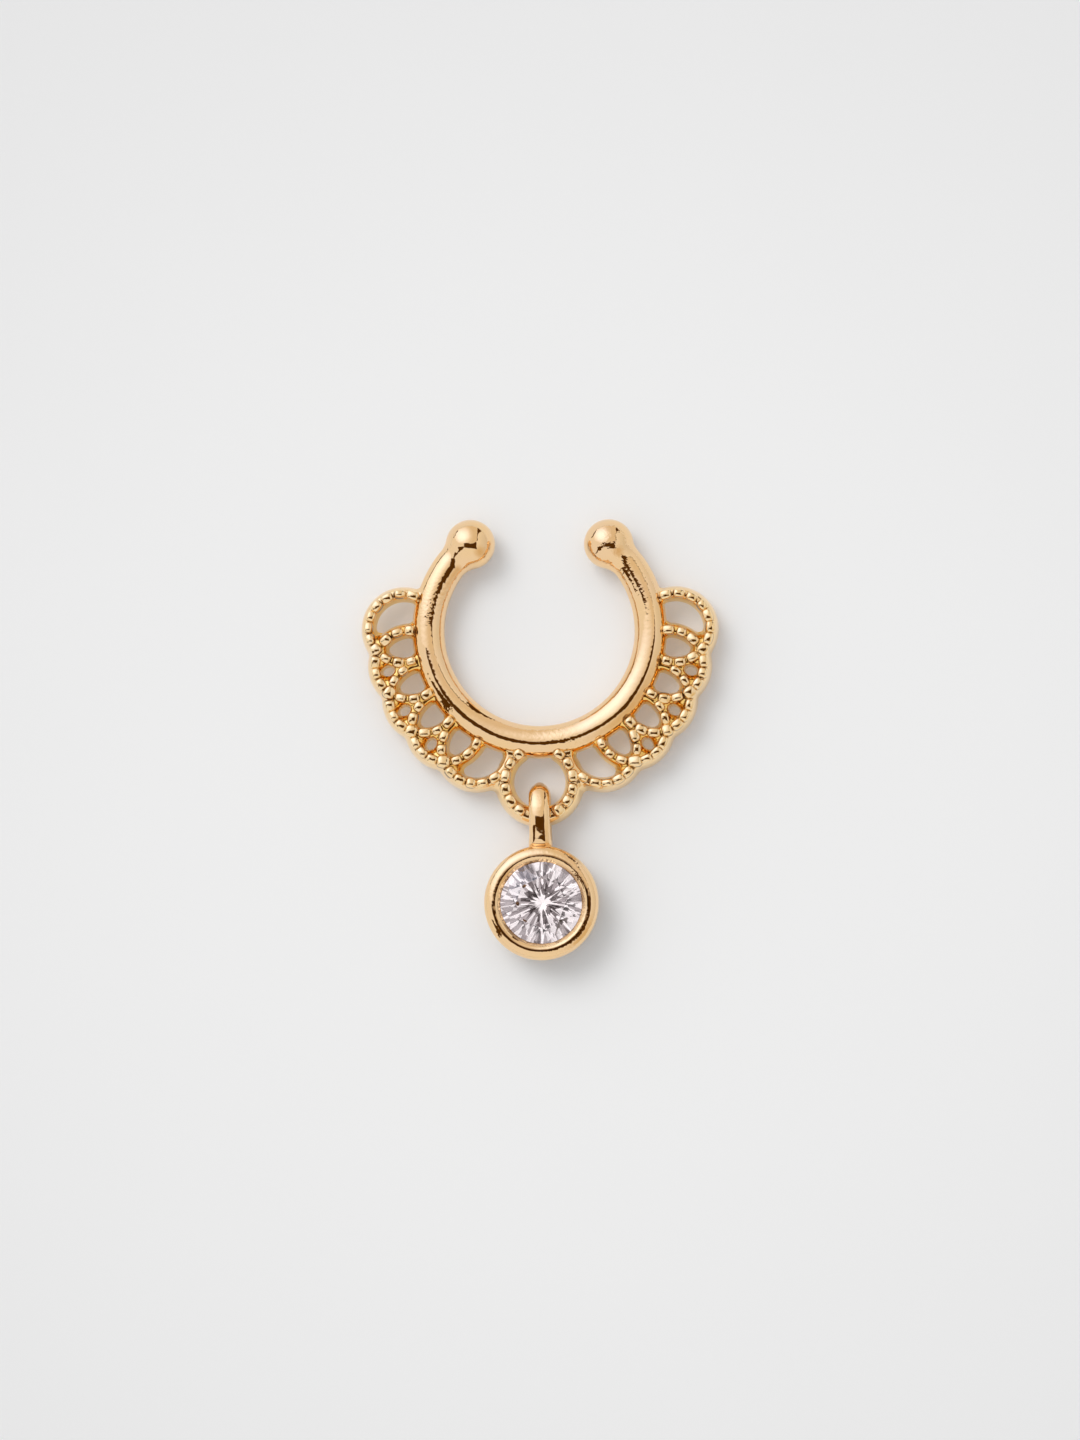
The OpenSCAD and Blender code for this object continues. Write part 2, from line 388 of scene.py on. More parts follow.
def add_node(tree, kind, inputs=None, output=0, **settings):
    """Adds a node with its settings, sets or links its sockets, and gives back the output that is used"""
    node = tree.nodes.new("ShaderNode" + kind)
    for key, value in settings.items():
        setattr(node, key, value)
    for key, value in (inputs or {}).items():
        if isinstance(value, bpy.types.NodeSocket):
            tree.links.new(value, node.inputs[key])
        else:
            node.inputs[key].default_value = value
    return node.outputs[output] if node.outputs else None


def new_material(name):
    """A material with no nodes yet, its tree, and the place on the object that its patterns follow"""
    material = bpy.data.materials.get(name) or bpy.data.materials.new(name)
    material.use_nodes = True
    tree = material.node_tree
    tree.nodes.clear()
    return material, tree, add_node(tree, "TexCoord", output="Object")


def clouds(tree, place, size, detail, start, end, low=0.0, high=1.0):
    """Clouds of the size given, in millimetres: noise from start to end becomes a value from low to high"""
    cloud = add_node(tree, "TexNoise", {"Vector": place, "Scale": 1 / (size * MM), "Detail": detail})
    return add_node(tree, "MapRange", {
        "Value": cloud, "From Min": start, "From Max": end, "To Min": low, "To Max": high})


def gold_plate(name, finish, light, painted_colour, warm, ripple_size, relief, rough):
    """Bright gold flash over cast brass. Hand polishing leaves soft ripples, so the eye sees mirror
    reflections with slightly ragged edges. Wear pales the plate where it is open. Each piece marks in its own
    attribute where a second colour is painted in, as painted shade and painted reflection: in openings,
    creases, along the bezel's crest and beside the lace."""
    material, tree, place = new_material(name)
    shelter = add_node(tree, "Attribute", output="Fac", attribute_name="shelter")
    # The open plate changes its colour a little in clouds about 1.5 mm across
    tint, warmer = ((*between(light, finish.deep_gold, warm + change), 1) for change in (-0.1, 0.1))
    warmed = clouds(tree, place, size=1.5, detail=2.0, start=0.35, end=0.65)
    # Over the clouds, the second colour goes where the piece's attribute marks painted shade and painted
    # reflection
    for mask, over in ((warmed, warmer), (shelter, (*painted_colour, 1))):
        tint = add_node(tree, "Mix", {0: mask, 6: tint, 7: over}, 2, data_type="RGBA")
    # Long waves of the casting about 1 mm across, and the polishing ripples over them
    waves = add_node(tree, "TexNoise", {"Vector": place, "Scale": 1 / (1.1 * MM), "Detail": 0.0})
    ripples = add_node(tree, "TexNoise", {
        "Vector": place, "Scale": 1 / (ripple_size * MM), "Detail": 1.0, "Roughness": 0.4})
    # Fine pits in patches about 2 mm across, which the polishing wheel missed
    pits = add_node(tree, "TexNoise", {"Vector": place, "Scale": 1 / (0.13 * MM), "Detail": 1.0})
    patches = clouds(tree, place, size=2.2, detail=0.0, start=0.48, end=0.64)
    pitted = add_node(tree, "Math", {0: patches, 1: pits}, operation="MULTIPLY")
    bump = {}
    for height, depth in ((waves, finish.wave), (ripples, finish.ripple), (pitted, finish.pit)):
        bump = {"Normal": add_node(tree, "Bump", {
            "Height": height, "Strength": 1.0, "Distance": depth * relief, **bump})}
    # Fine polishing haze, drawn about 0.12 mm across so that it shows
    haze = clouds(tree, place, size=0.12, detail=3.0, start=0.3, end=0.7, low=rough[0], high=rough[1])
    shader = add_node(tree, "BsdfPrincipled", {
        "Base Color": tint, "Metallic": 1.0, "Roughness": haze, **bump})
    add_node(tree, "OutputMaterial", {"Surface": shader})
    return material


def cut_stone(finish):
    """Clear cubic zirconia, cut and polished, with the faint haze that daily cleaning leaves. Zirconia bends
    light more than this. The lower value opens the view of the foil, as in the photo."""
    material, tree, place = new_material("cut_zirconia")
    haze = clouds(tree, place, size=0.3, detail=2.0, start=0.4, end=0.7, high=0.02)
    shader = add_node(tree, "BsdfPrincipled", {
        "Base Color": (*finish.stone, 1), "Roughness": haze, "IOR": 1.62, "Transmission Weight": 1.0})
    add_node(tree, "OutputMaterial", {"Surface": shader})
    return material


def silvered_back(finish, centre, name, brightness):
    """Silver foil fired on to the stone's lower facets, seen through the crown: it throws back the light from
    every lower facet. Streaks that run out from the stone's point are painted on it as painted reflections:
    dark ones in a ring round the point, and grey ones nearer the girdle. So the eye sees white and grey
    wedges."""
    material, tree, place = new_material(name)
    out = add_node(tree, "VectorMath", {0: place, 1: centre * MM}, operation="SUBTRACT")
    out = add_node(tree, "VectorMath", {0: out, 1: (1, 1, 0)}, operation="MULTIPLY")
    away = add_node(tree, "VectorMath", {0: out}, "Value", operation="LENGTH")
    heading = add_node(tree, "VectorMath", {0: out}, operation="NORMALIZE")
    # A place beside the circle of headings, where the streaks fall well
    heading = add_node(tree, "VectorMath", {0: heading, 1: (0, 0, 5.5)}, operation="ADD")
    tint = (*[c * brightness for c in finish.silvering], 1)
    blur = STREAK_BLUR * MM
    for (fineness, limit, first, last), painted_tone in (
            (PAINTED_DARK_STREAKS, finish.painted_dark_wedges), (PAINTED_GREY_STREAKS, finish.painted_grey_wedges)):
        streaks = add_node(tree, "TexNoise", {"Vector": heading, "Scale": fineness, "Detail": 0.0})
        # Each streak starts and ends at its own distance from the point
        ragged = add_node(tree, "Math", {0: streaks, 1: MM, 2: away}, operation="MULTIPLY_ADD")
        mask = None
        for value, edge, soft, high in ((ragged, (first + 0.5) * MM, blur, 1.0),
                                        (ragged, (last + 0.5) * MM, blur, 0.0), (streaks, limit, 0.01, 1.0)):
            part = add_node(tree, "MapRange", {
                "Value": value, "From Min": edge - soft, "From Max": edge + soft,
                "To Min": 1.0 - high, "To Max": high})
            mask = part if mask is None else add_node(tree, "Math", {0: mask, 1: part}, operation="MULTIPLY")
        tint = add_node(tree, "Mix", {0: mask, 6: tint, 7: (*painted_tone, 1)}, 2, data_type="RGBA")
    haze = clouds(tree, place, size=0.2, detail=2.0, start=0.4, end=0.7, high=0.01)
    shader = add_node(tree, "BsdfPrincipled", {"Base Color": tint, "Metallic": 1.0, "Roughness": haze})
    add_node(tree, "OutputMaterial", {"Surface": shader})
    return material


def card(finish):
    """Matt white card on a light table: even and soft, with a faint mottle from its pressing, and shadows
    that the table's own light fills"""
    material, tree, place = new_material("matt_card")
    mottle = add_node(tree, "TexNoise", {"Vector": place, "Scale": 1 / (9 * MM), "Detail": 2.0})
    # Painted shade: it greys a little away from the middle
    away = add_node(tree, "VectorMath", {0: place}, "Value", operation="LENGTH")
    painted_falloff = add_node(tree, "MapRange", {
        "Value": away, "From Min": 8 * MM, "From Max": 60 * MM,
        "To Min": 0.0, "To Max": 0.3}, interpolation_type="SMOOTHSTEP")
    tint, mottled = ((*[c * tone for c in finish.card], 1) for tone in (1, 0.99))
    for mask, over in ((mottle, mottled), (painted_falloff, (0.5, 0.5, 0.5, 1))):
        tint = add_node(tree, "Mix", {0: mask, 6: tint, 7: over}, 2, data_type="RGBA")
    shader = add_node(tree, "BsdfPrincipled", {
        "Base Color": tint, "Roughness": 0.9, "Specular IOR Level": 0.2,
        "Emission Color": (1, 1, 1, 1), "Emission Strength": finish.card_glow})
    add_node(tree, "OutputMaterial", {"Surface": shader})
    return material


def between(first, second, part):
    """A colour between two others"""
    return tuple(a + (b - a) * part for a, b in zip(first, second))


def polished(finish):
    """The mirror finish of the band"""
    return gold_plate("polished_gold_plate", finish, finish.gold, finish.deep_gold,
                      warm=0.1, ripple_size=0.25, relief=1.0, rough=(0.03, 0.06))


def burnished(finish):
    """The mirror finish of the bezel and the bail, with a painted dark reflection along the bezel's crest and
    painted shade at the stone
    """
    return gold_plate("burnished_gold_plate", finish, finish.gold, finish.painted_dark,
                      warm=0.1, ripple_size=0.25, relief=1.0, rough=(0.03, 0.06))


def tumbled(finish):
    """The softer finish of the lace, which only tumbling reaches"""
    light = between(finish.gold, finish.worn_gold, 0.6)
    return gold_plate("tumbled_gold_plate", finish, light, finish.deep_gold,
                      warm=0.15, ripple_size=0.2, relief=0.8, rough=(0.04, 0.08))


def beaded(finish):
    """The finish of the beads: pale plate, with painted shade at their ends and low sides"""
    return gold_plate("beaded_gold_plate", finish, finish.worn_gold, finish.painted_dark,
                      warm=0.12, ripple_size=0.2, relief=0.6, rough=(0.05, 0.1))


def eased(value, low, high):
    """A soft step from 0 at low to 1 at high"""
    part = min(1, max(0, (value - low) / (high - low)))
    return part * part * (3 - 2 * part)


def mark_painted_shade_and_reflection(bm, measure):
    """Writes how much painted shade or painted reflection each corner takes, from 0 to 1, for the gold
    plate's colour
    """
    layer = bm.verts.layers.float.new("shelter")
    for vert in bm.verts:
        vert[layer] = measure(vert.co)


def tube_arc(radius, sides, band_r, last, steps):
    """Open-ended round tube on an arc, from one side of the ring to the other"""
    bm = bmesh.new()
    verts = bmesh.ops.create_circle(bm, radius=radius, segments=sides,
                                    matrix=Matrix.Rotation(math.pi / 2, 4, "X"))["verts"]
    bmesh.ops.translate(bm, verts=verts, vec=(band_r, 0, 0))
    bmesh.ops.rotate(bm, verts=verts, cent=(0, 0, 0), matrix=Matrix.Rotation(-last - math.pi / 2, 3, "Z"))
    bmesh.ops.spin(bm, geom=verts + bm.edges[:], cent=(0, 0, 0), axis=(0, 0, 1), angle=2 * last, steps=steps)
    return bm


class RING_OT_band(bpy.types.Operator):
    """Adds the round band with its ball ends"""
    bl_idname = "septum_ring.band"
    bl_label = "Add band"

    def execute(self, context):
        band, lace = sizes(context, "band", "lace")
        tube_r, ball_r, band_r = band["band_d"] / 2, band["ball_d"] / 2, band_radius(band)
        neck = band["neck_round"]
        # The fillet touches the band and the ball; its centre is outside both
        back = math.sqrt((ball_r + neck) ** 2 - (tube_r + neck) ** 2)
        meet = math.degrees(math.atan2(back, tube_r + neck))
        reach = 2 * math.asin(back / (2 * band_r))
        last = band["end_angle"] - reach - math.radians(1.6)
        bm = tube_arc(tube_r, BAND_SIDES, band_r, last, steps=220)
        # Hand polishing works towards the crest from both sides. On the right it leaves a soft ridge there,
        # a little outside the band's middle, which fades out below and towards the ball.
        for vert in bm.verts:
            turn = math.atan2(vert.co.x, -vert.co.y)
            core = at(band_r, turn)
            out = vert.co - core
            section = math.atan2(out.dot(core) / band_r, out.z)
            crest = RIDGE_TURN + RIDGE_MORE * math.sin(turn) ** 2
            along = eased(turn, *RIDGE_START) * (1 - eased(turn, *RIDGE_END))
            across = math.exp(-((section - crest) / RIDGE_WIDE) ** 2)
            vert.co += out.normalized() * band["ridge"] * along * across
        # Balls: turned with their fillet, then joined to the band's open ends
        profile = arc((tube_r + neck, -back), neck, 180, 180 - meet, 6)
        profile += arc((0, 0), ball_r, -meet, 90, 20)[1:]
        for side in (-1, 1):
            centre = at(band_r, side * band["end_angle"])
            axis = (centre - at(band_r, side * (band["end_angle"] - reach))).normalized()
            up = Vector((0, 0, 1))
            stand = Matrix((up.cross(axis), up, axis)).transposed().to_4x4()
            join_into(bm, turned(profile, BAND_SIDES), Matrix.Translation(centre) @ stand)
        for side in (-1, 1):
            near = [e for e in bm.edges if e.is_boundary and e.verts[0].co.x * side > 0]
            bmesh.ops.bridge_loops(bm, edges=near)
        # Painted reflection: beside the lace the band takes a little deep gold, for the lace's gold mirrored
        # in its flank
        foot = lace["first_angle"] + math.radians(14)
        mark_painted_shade_and_reflection(bm, lambda co: 0.2 * eased(Vector((co.x, co.y)).length, band_r + 0.3, band_r + 0.6)
                     * eased(foot - abs(math.atan2(co.x, -co.y)), 0, 0.06))
        bmesh.ops.translate(bm, verts=bm.verts, vec=ring_place(band))
        add_piece("ring_band", bm, "lace_ring", polished(context.scene.septum_ring.finish))
        return {"FINISHED"}


def bar_section(line, inner, outer, draft, thick):
    """Section of a cast bar in the XZ plane: a wide flat foot, leaning sides, and a rounded top that
    carries the line of beads. Inner and outer are the distances from that line to the bar's sides."""
    half = [(1, 0), (1, 0.12), (0.95, 0.32), (0.83, 0.6), (0.66, 0.84), (0.42, 1)]
    right = [Vector((line + (outer + draft) * x, 0, thick * (z - 0.5))) for x, z in half]
    left = [Vector((line - (inner + draft) * x, 0, thick * (z - 0.5))) for x, z in reversed(half)]
    return right + left


class RING_OT_lace(bpy.types.Operator):
    """Adds the pierced lace border and the hanging loop as one cast skin"""
    bl_idname = "septum_ring.lace"
    bl_label = "Add lace border"

    def execute(self, context):
        band, lace, beads, loop = sizes(context, "band", "lace", "beads", "loop")
        half, draft, thick = lace["bar_w"] / 2, lace["draft_w"], lace["lace_t"]
        inset, arch_r, band_r = beads["inset"], lace["arch_r"], band_radius(band)
        bm = bmesh.new()
        section = bar_section(arch_r - inset, half - inset, half + inset, draft, thick)
        for side in (-1, 1):
            for k, centre, turn in arches(lace, side):
                # Each end of the arch stops inside the band
                reach = centre.length
                inside = (reach ** 2 + arch_r ** 2 - (band_r + ARCH_ROOT) ** 2) / (2 * reach * arch_r)
                sweep = math.pi - math.acos(inside)
                swept(bm, section, centre, turn - sweep, turn + sweep, steps=72)
        # The loop is broader than a bar, and its beads sit nearer the opening
        line = loop["bead_circle"] / 2
        section = bar_section(line, line - loop["hole_d"] / 2 - draft, loop["outer_d"] / 2 - line - draft,
                              draft, thick)
        swept(bm, section, at(loop["reach"], 0), -LOOP_SWEEP, LOOP_SWEEP, steps=90)
        # A slightly thinner band runs with the bars, so that they meet the real band in fillets. One a
        # little thicker is taken out of the skin at the end.
        tubes = []
        for thinner, last in CORE_TUBES:
            tube = tube_arc(band["band_d"] / 2 - thinner, CORE_SIDES, band_r, last, steps=160)
            bmesh.ops.holes_fill(tube, edges=tube.edges, sides=0)
            bmesh.ops.recalc_face_normals(tube, faces=tube.faces)
            tubes.append(tube)
        join_into(bm, tubes[0])
        bmesh.ops.recalc_face_normals(bm, faces=bm.faces)
        # Small slots near the edge, between three arches, widening upwards
        drills = bmesh.new()
        for side in (-1, 1):
            for k, centre, turn in arches(lace, side):
                if 1 < k < ARCH_COUNT:
                    place = Matrix.Translation(centre + at(arch_r * SLOT_REACH, turn))
                    place = place @ Matrix.Rotation(turn, 4, "Z") @ Matrix.Diagonal(SLOT_STRETCH)
                    bmesh.ops.create_cone(drills, cap_ends=True, segments=20, radius1=SLOT_BACK,
                                          radius2=SLOT_FRONT, depth=1.2 * thick, matrix=place)
        skin = cast_skin(bm, tubes[1], drills, SKIN_STEP, lace["corner_round"], SKIN_ROUNDS)
        # Painted shade and painted reflection: the walls of the openings take the deep gold, for the colour
        # of light bounced between gold walls
        circles = [(at(loop["reach"], 0), line)]
        circles += [(centre, arch_r) for side in (-1, 1) for k, centre, turn in arches(lace, side)]
        mark_painted_shade_and_reflection(skin, lambda co: max(
            eased(radius - (Vector((co.x, co.y, 0)) - centre).length, 0.1, 0.28)
            for centre, radius in circles))
        bmesh.ops.translate(skin, verts=skin.verts, vec=ring_place(band))
        add_piece("lace_border", skin, "lace_ring", tumbled(context.scene.septum_ring.finish))
        return {"FINISHED"}


class RING_OT_beads(bpy.types.Operator):
    """Adds the milgrain beads along the arches and the loop"""
    bl_idname = "septum_ring.beads"
    bl_label = "Add milgrain beads"

    def execute(self, context):
        band, lace, beads, loop = sizes(context, "band", "lace", "beads", "loop")
        bm = bmesh.new()
        painted_dark = bm.verts.layers.float.new("shelter")
        height = lace["lace_t"] / 2 - beads["sink"]

        def bead(place, turn, long, wide):
            """One bead, longer along its line. Hand tooling leaves each a little different and tilted."""
            odd = Vector([noise.noise(place * 2.3 + Vector((0, 0, shift))) for shift in (0.4, 3.7, 7.1)])
            long, wide = long * (1 + BEAD_ODDS[0] * odd.x), wide * (1 + BEAD_ODDS[1] * odd.y)
            size = Matrix.Diagonal((long / 2, wide / 2, beads["bead_h"] / 2, 1))
            tilt = Matrix.Rotation(BEAD_TILTS[0] * odd.z, 4, "X")
            tilt = tilt @ Matrix.Rotation(BEAD_TILTS[1] * odd.y, 4, "Y")
            stand = Matrix.Translation(place + Vector((0, 0, height))) @ Matrix.Rotation(turn, 4, "Z")
            made = bmesh.ops.create_uvsphere(bm, u_segments=16, v_segments=10, radius=1)["verts"]
            for vert in made:
                # Painted shade: a bead's ends and low sides, where its neighbours and the bar meet it, take
                # the dark colour
                vert[painted_dark] = max(eased(abs(vert.co.x), 0.8, 0.97), eased(0.3 - vert.co.z, 0, 0.2))
                vert.co = Vector([math.copysign(abs(c) ** (1 - beads["boxy"]), c) for c in vert.co])
            bmesh.ops.transform(bm, verts=made, matrix=stand @ tilt @ size)

        half_gap = lace["arch_reach"] * math.sin(lace["arch_pitch"] / 2)
        cross = math.pi / 2 + lace["arch_pitch"] / 2 - math.acos(half_gap / lace["arch_r"])
        step = cross / CROSS_BEAD
        # Past the crossing they spread a little, so that the last lies where two bars meet at the band
        spread = (math.pi / 2 + lace["arch_pitch"] - cross) / (LAST_BEAD - CROSS_BEAD)
        for side in (-1, 1):
            for k, centre, middle in arches(lace, side):
                for i in range(-LAST_BEAD, LAST_BEAD + 1):
                    is_end = (k == 1 and i < 0) or (k == ARCH_COUNT and i > 0)
                    is_shared = (k > 1 and i == -CROSS_BEAD) or (k > 2 and i == -LAST_BEAD)
                    if is_shared or (k == ARCH_COUNT and i > LAST_BEAD - 2):
                        continue
                    away = min(abs(i), CROSS_BEAD) * step + max(0, abs(i) - CROSS_BEAD) * spread
                    turn = middle - side * math.copysign(away, i)
                    long, wide = beads["bead_l"], beads["bead_w"]
                    if abs(i) == CROSS_BEAD and not is_end:
                        long, wide = beads["cross_d"], beads["cross_d"] * CROSS_WIDE
                    bead(centre + at(lace["arch_r"] - beads["inset"], turn), turn, long, wide)
            for degrees in LOOP_BEADS:
                turn = side * math.radians(degrees)
                place = at(loop["reach"], 0) + at(loop["bead_circle"] / 2, turn)
                bead(place, turn, beads["bead_l"], beads["bead_w"] * LOOP_WIDE)
        bmesh.ops.translate(bm, verts=bm.verts, vec=ring_place(band))
        add_piece("milgrain_beads", bm, "lace_ring", beaded(context.scene.septum_ring.finish))
        return {"FINISHED"}


def bezel_cup(drop, stone, brow):
    """The bezel cup on its own axis, with a rounded foot and shoulder. Inside the lip's crest, at the radius
    given, the lip slopes down to the stone."""
    wall, mouth = drop["bezel_d"] / 2, drop["mouth_d"] / 2
    high, shoulder = drop["bezel_h"], drop["rim_round"]
    lean = math.radians(LIP_LEAN)
    edge_z = high - LIP_CREST * (1 - math.cos(lean)) - (brow - mouth) * math.tan(lean)
    girdle_low = STONE_BOX[0].z / MM + stone["pavilion_h"]
    seat_r, seat_z = stone["stone_d"] / 2 + FIT_GAP, girdle_low - FIT_GAP
    slope = stone["pavilion_h"] / (stone["stone_d"] / 2)
    points = [Vector((0, 0, 0))]
    points += arc((wall - FOOT_ROUND, FOOT_ROUND), FOOT_ROUND, -90, 0, 8)
    points += arc((wall - shoulder, high - shoulder), shoulder, 0, 90, 18)
    points += arc((wall - shoulder, high - LIP_CREST), LIP_CREST, 90, 90 + LIP_LEAN, 8)[1:]
    points += [Vector((x, 0, z)) for x, z in (
        (mouth + 0.02, edge_z + 0.012), (mouth, edge_z - 0.012),
        (seat_r, girdle_low + stone["girdle_t"] + FIT_GAP), (seat_r, seat_z),
        (HOLLOW_R, seat_z - (seat_r - HOLLOW_R) * slope), (HOLLOW_R, CUP_FLOOR), (0, CUP_FLOOR))]
    cup = turned(points, steps=128)
    # Pushing the lip over the stone leaves its edge a little uneven
    for vert in cup.verts:
        flat = Vector((vert.co.x, vert.co.y, 0))
        if abs(flat.length - mouth) < 0.05 and vert.co.z > high - 0.3:
            flat.normalize()
            vert.co += flat * LIP_ODDS * noise.noise(flat * 2.2)
    return cup


def bail_ring(drop, long):
    """The bail: a rounded flat section carried round an upright oval of the length given. It runs along the
    Y axis from 0, and its middle is at height 0."""
    bail_r = BAIL_TALL / 2
    wide, thick, face = drop["bail_w"] / 2, drop["bail_t"], drop["bail_face"] / 2
    ring = bmesh.new()
    # Its section: distance from the bend's centre and half width, from the opening's side to the outer face
    turns = [math.pi * (i / 12 - 0.5) for i in range(13)]
    section = [(bail_r - thick / 2 * (1 - math.sin(t)), face + (wide - face) * math.cos(t)) for t in turns]
    outline = [Vector((-w, bail_r, r)) for r, w in section]
    outline += [Vector((w, bail_r, r)) for r, w in reversed(section)]
    line, pieces = chain(ring, outline, closed=True)
    # Round the far end, along the foot, round the near end and back along the top
    last = line + pieces
    for centre, run in ((bail_r, long - BAIL_TALL), (long - bail_r, BAIL_TALL - long)):
        made = bmesh.ops.spin(ring, geom=last, cent=(0, centre, 0), axis=(1, 0, 0), angle=math.pi, steps=24)
        edges = [g for g in made["geom_last"] if isinstance(g, bmesh.types.BMEdge)]
        made = bmesh.ops.extrude_edge_only(ring, edges=edges)
        last = [g for g in made["geom"] if not isinstance(g, bmesh.types.BMFace)]
        bmesh.ops.translate(
            ring, vec=(0, run, 0), verts=[g for g in last if isinstance(g, bmesh.types.BMVert)])
    bmesh.ops.remove_doubles(ring, verts=ring.verts, dist=1e-4)
    for vert in ring.verts:
        # The near bend is fuller above, where solder runs it on to the bezel's shoulder
        over = Vector((0, vert.co.y - (long - bail_r), vert.co.z))
        if over.y > 0 and over.z > 0:
            full = Vector((0, over.normalized().y ** 0.5, over.normalized().z ** 0.5))
            vert.co.y = long - bail_r + over.length * full.y
            vert.co.z = over.length * full.z
        # Its top is a low arch
        if vert.co.z > 0:
            sag = BAIL_SAGS[0] if vert.co.y < long / 2 else BAIL_SAGS[1]
            vert.co.z -= sag * (1 - math.cos(math.pi * min(1, abs(vert.co.y - long / 2) / BAIL_SPAN)))
        # It is narrowest at its far bend, and spreads a little where it is soldered to the bezel
        near = max(0, (vert.co.y - (long - 0.95)) / 0.7)
        far = max(0, 1 - vert.co.y / 0.55)
        vert.co.x *= (1 + BAIL_SPREAD * min(1, near) ** 2) * (1 - BAIL_NARROW * far ** 2)
    return ring


class RING_OT_drop(bpy.types.Operator):
    """Adds the bezel cup and its bail"""
    bl_idname = "septum_ring.drop"
    bl_label = "Add bezel and bail"

    def execute(self, context):
        band, loop, drop, stone = sizes(context, "band", "loop", "drop", "stone")
        bail_place, cup_place = drop_places(band, loop, drop)
        # Radius of the lip's crest
        brow = drop["bezel_d"] / 2 - drop["rim_round"] - LIP_CREST * math.sin(math.radians(LIP_LEAN))
        bm = bmesh.new()
        join_into(bm, bezel_cup(drop, stone, brow), cup_place)
        long = drop["reach"] - loop["reach"] - drop["bezel_d"] / 2 + BAIL_SEAT
        stand = Matrix.Translation((0, 0, BAIL_LOW + BAIL_TALL / 2))
        join_into(bm, bail_ring(drop, long), bail_place @ stand)
        # A painted dark reflection runs along the lip's crest, here more and there less, and painted shade
        # darkens the lip at the stone
        centre, high, mouth = cup_place.to_translation(), drop["bezel_h"], drop["mouth_d"] / 2

        def painted_dark(co):
            """How much painted dark reflection or painted shade a place on the bezel takes"""
            out = math.hypot(co.x - centre.x, co.y - centre.y)
            wander = abs(out - brow - LIP_CREST * 0.65 + 0.02 * noise.noise(co * 6))
            along = eased(0.055 - wander, 0, 0.03) * (0.6 + 0.8 * noise.noise(co * 0.9 + Vector((3, 0, 0))))
            return eased(co.z, high - 0.45, high - 0.4) * max(along, eased(mouth + 0.03 - out, 0, 0.02))

        mark_painted_shade_and_reflection(bm, painted_dark)
        finish = context.scene.septum_ring.finish
        obj = add_piece("bezel_and_bail", bm, "drop_setting", burnished(finish))
        soft = obj.modifiers.new("soft_edges", "BEVEL")
        soft.width = 0.03 * MM
        soft.segments = 2
        soft.limit_method = "ANGLE"
        soft.angle_limit = math.radians(32)
        return {"FINISHED"}


class RING_OT_stone(bpy.types.Operator):
    """Cuts the round brilliant"""
    bl_idname = "septum_ring.stone"
    bl_label = "Cut stone"

    def execute(self, context):
        band, loop, drop, stone = sizes(context, "band", "loop", "drop", "stone")
        stone_r, table_r = stone["stone_d"] / 2, stone["table_d"] / 2
        tip = STONE_BOX[0].z / MM
        low = tip + stone["pavilion_h"]
        top = low + stone["girdle_t"]
        table = top + stone["crown_h"]
        fold = 2 * math.pi / FOLDS
        lean = math.cos(fold / 2)
        bm = bmesh.new()
        bmesh.ops.create_cone(bm, cap_ends=True, segments=96, radius1=stone_r, radius2=stone_r,
                              depth=table - tip, matrix=Matrix.Translation((0, 0, (table + tip) / 2)))

        def point(radius, folds, z):
            """A corner of the cut, by radius and by folds round the axis"""
            turn = folds * fold
            return Vector((radius * math.cos(turn), radius * math.sin(turn), z))

        def facet(a, b, c):
            """Grinds a flat facet through three corners, and polishes the cut closed"""
            plane = (b - a).cross(c - a).normalized()
            middle = Vector((0, 0, (low + top) / 2))
            if plane.dot(a - middle) < 0:
                plane = -plane
            made = bmesh.ops.bisect_plane(bm, geom=bm.verts[:] + bm.edges[:] + bm.faces[:], dist=1e-5,
                                          plane_co=a, plane_no=plane, clear_outer=True)
            cut = [g for g in made["geom_cut"] if isinstance(g, bmesh.types.BMEdge)]
            if len(cut) > 2:
                bmesh.ops.edgeloop_fill(bm, edges=cut)

        rise = stone["crown_h"] / (stone_r - table_r)
        star_r = table_r * lean + stone["star_share"] * (stone_r - table_r * lean)
        star_z = table - (star_r * lean - table_r) * rise
        lower_r = stone["lower_share"] * stone_r
        lower_z = tip + lower_r * lean * stone["pavilion_h"] / stone_r
        for i in range(FOLDS):
            side = point(1, i, 0).cross(Vector((0, 0, 1)))
            facet(point(table_r, i, table), point(stone_r, i, top), point(stone_r, i, top) + side)
            facet(Vector((0, 0, tip)), point(stone_r, i, low), point(stone_r, i, low) + side)
        for i in range(FOLDS):
            for half in (-0.5, 0.5):
                facet(point(star_r, i + half, star_z), point(stone_r, i, top), point(stone_r, i + half, top))
                facet(point(lower_r, i + half, lower_z), point(stone_r, i, low),
                      point(stone_r, i + half, low))
        for i in range(FOLDS):
            facet(point(table_r, i, table), point(table_r, i + 1, table), point(star_r, i + 0.5, star_z))
        bmesh.ops.remove_doubles(bm, verts=bm.verts, dist=2e-4)
        place = drop_places(band, loop, drop)[1]
        bmesh.ops.transform(bm, matrix=place, verts=bm.verts)
        finish = context.scene.septum_ring.finish
        obj = add_piece("brilliant_stone", bm, "stone", cut_stone(finish), smooth=False)
        for name, brightness in (
                ("silvered_back", 1), ("rubbed_silvered_back", 0.94), ("worn_silvered_back", 0.88)):
            obj.data.materials.append(silvered_back(finish, place.to_translation(), name, brightness))
        # The foil is brightest on the mains. Of the two lower halves between them one is painted dim and one
        # dimmer, as painted shade in the stone's reflections.
        for face in obj.data.polygons:
            if face.normal.z < 0.2:
                turn = math.atan2(face.normal.y, face.normal.x) - drop["turn"] - math.pi
                part = turn / fold % 1
                face.material_index = 1
                if FOIL_PAINTED_DIMMER[0] < part < FOIL_PAINTED_DIMMER[1]:
                    face.material_index = 3
                elif FOIL_PAINTED_DIM[0] <= part < FOIL_PAINTED_DIM[1]:
                    face.material_index = 2
        return {"FINISHED"}


